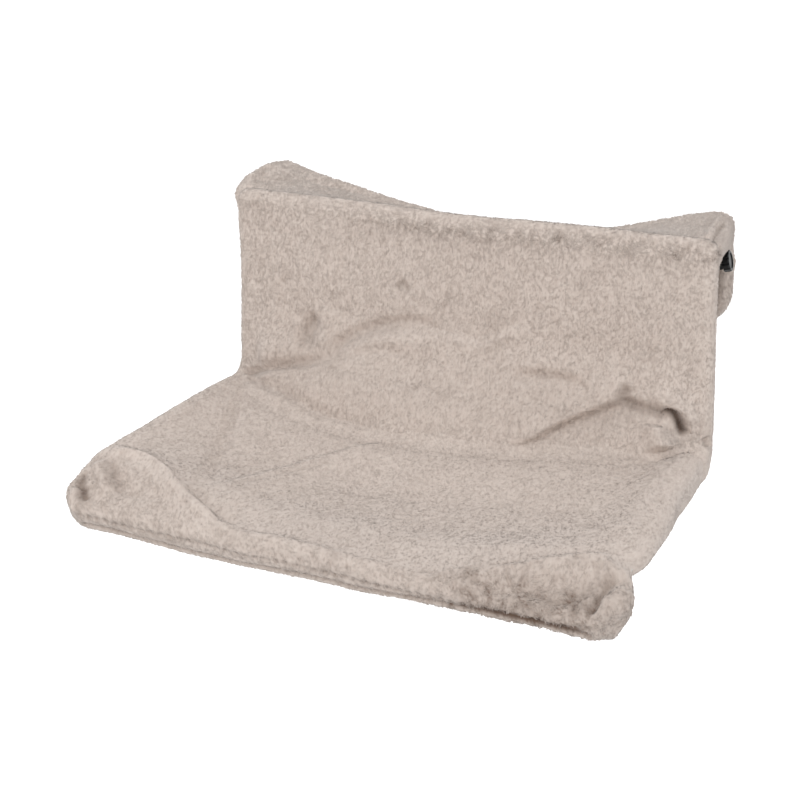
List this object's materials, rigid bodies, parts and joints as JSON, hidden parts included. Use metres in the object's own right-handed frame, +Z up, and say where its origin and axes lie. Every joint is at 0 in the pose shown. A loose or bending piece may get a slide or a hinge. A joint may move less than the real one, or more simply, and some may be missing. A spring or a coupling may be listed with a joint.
{
  "type": "radiator cat hammock",
  "caption": "Plush hammock for a cat on a bent steel tube frame that hooks over a radiator, with a sliding rear hook and lock knobs.",
  "frame": {"origin": "middle of the hammock, where the radiator's top front edge lies: Z = 0 is the radiator's top, under the two clamp feet, and Y = 0 its front face, against the back lining", "axes": "+X to the right along the radiator, seen from the room; +Y from the room into the wall; +Z up"},
  "size_m": [0.4498, 0.3788, 0.2234],
  "materials": {
    "frame_steel": "light grey powder coat",
    "spigot_steel": "bare drawn steel",
    "screw_steel": "bright zinc plate",
    "insert_brass": "plain turned",
    "clamp_plastic": "black moulded nylon",
    "knob_plastic": "glossy black",
    "hook_steel": "satin black paint",
    "plush": "short tufted warm beige plush",
    "lining": "brushed beige knit",
    "closure_loop": "beige napped loop tape",
    "closure_hook": "beige hook tape"
  },
  "bodies": {
    "frame": {"back_frame_tube": "frame_steel", "seat_frame_tube": "frame_steel", "lower_cross_bar": "frame_steel", "guide_tube_left": "frame_steel", "guide_tube_right": "frame_steel", "joint_spigot_left": "spigot_steel", "joint_spigot_right": "spigot_steel", "joint_screws": "screw_steel", "clamp_washers": "screw_steel", "clamp_inserts": "insert_brass", "clamp_foot_left": "clamp_plastic", "clamp_foot_right": "clamp_plastic", "seat_panel": "plush", "seat_side_roll_left": "plush", "seat_side_roll_right": "plush", "seat_front_roll": "plush", "back_panel": "plush", "upright_roll_left": "plush", "upright_roll_right": "plush", "top_edge_roll": "plush", "top_panel": "plush", "arm_skirt_left": "plush", "arm_skirt_right": "plush", "seat_underside": "lining", "back_lining": "lining", "closure_loop_strip": "closure_loop", "closure_hook_strip": "closure_hook"},
    "hook": {"hook_rod": "hook_steel", "flap_side_roll_left": "plush", "flap_side_roll_right": "plush", "flap_bottom_roll": "plush", "flap_top_hem": "plush", "flap_inner_layer": "lining", "flap_outer_layer": "plush"},
    "lock_knob_left": {"lock_knob_left": "knob_plastic", "knob_screw_left": "screw_steel"},
    "lock_knob_right": {"lock_knob_right": "knob_plastic", "knob_screw_right": "screw_steel"}
  },
  "joints": [
    {"name": "hook_slide", "type": "slide", "parent": "frame", "child": "hook", "axis": [0, 1, 0], "range_m": [0, 0.028]},
    {"name": "right_knob_turn", "type": "hinge", "parent": "frame", "child": "lock_knob_right", "pos_m": [0.21337, 0.0336, 0.00783], "axis": [0.9659, 0, 0.2588], "range_deg": [0, 360]},
    {"name": "left_knob_turn", "type": "hinge", "parent": "frame", "child": "lock_knob_left", "pos_m": [-0.21337, 0.0336, 0.00783], "axis": [-0.9659, 0, 0.2588], "range_deg": [0, 360]}
  ]
}
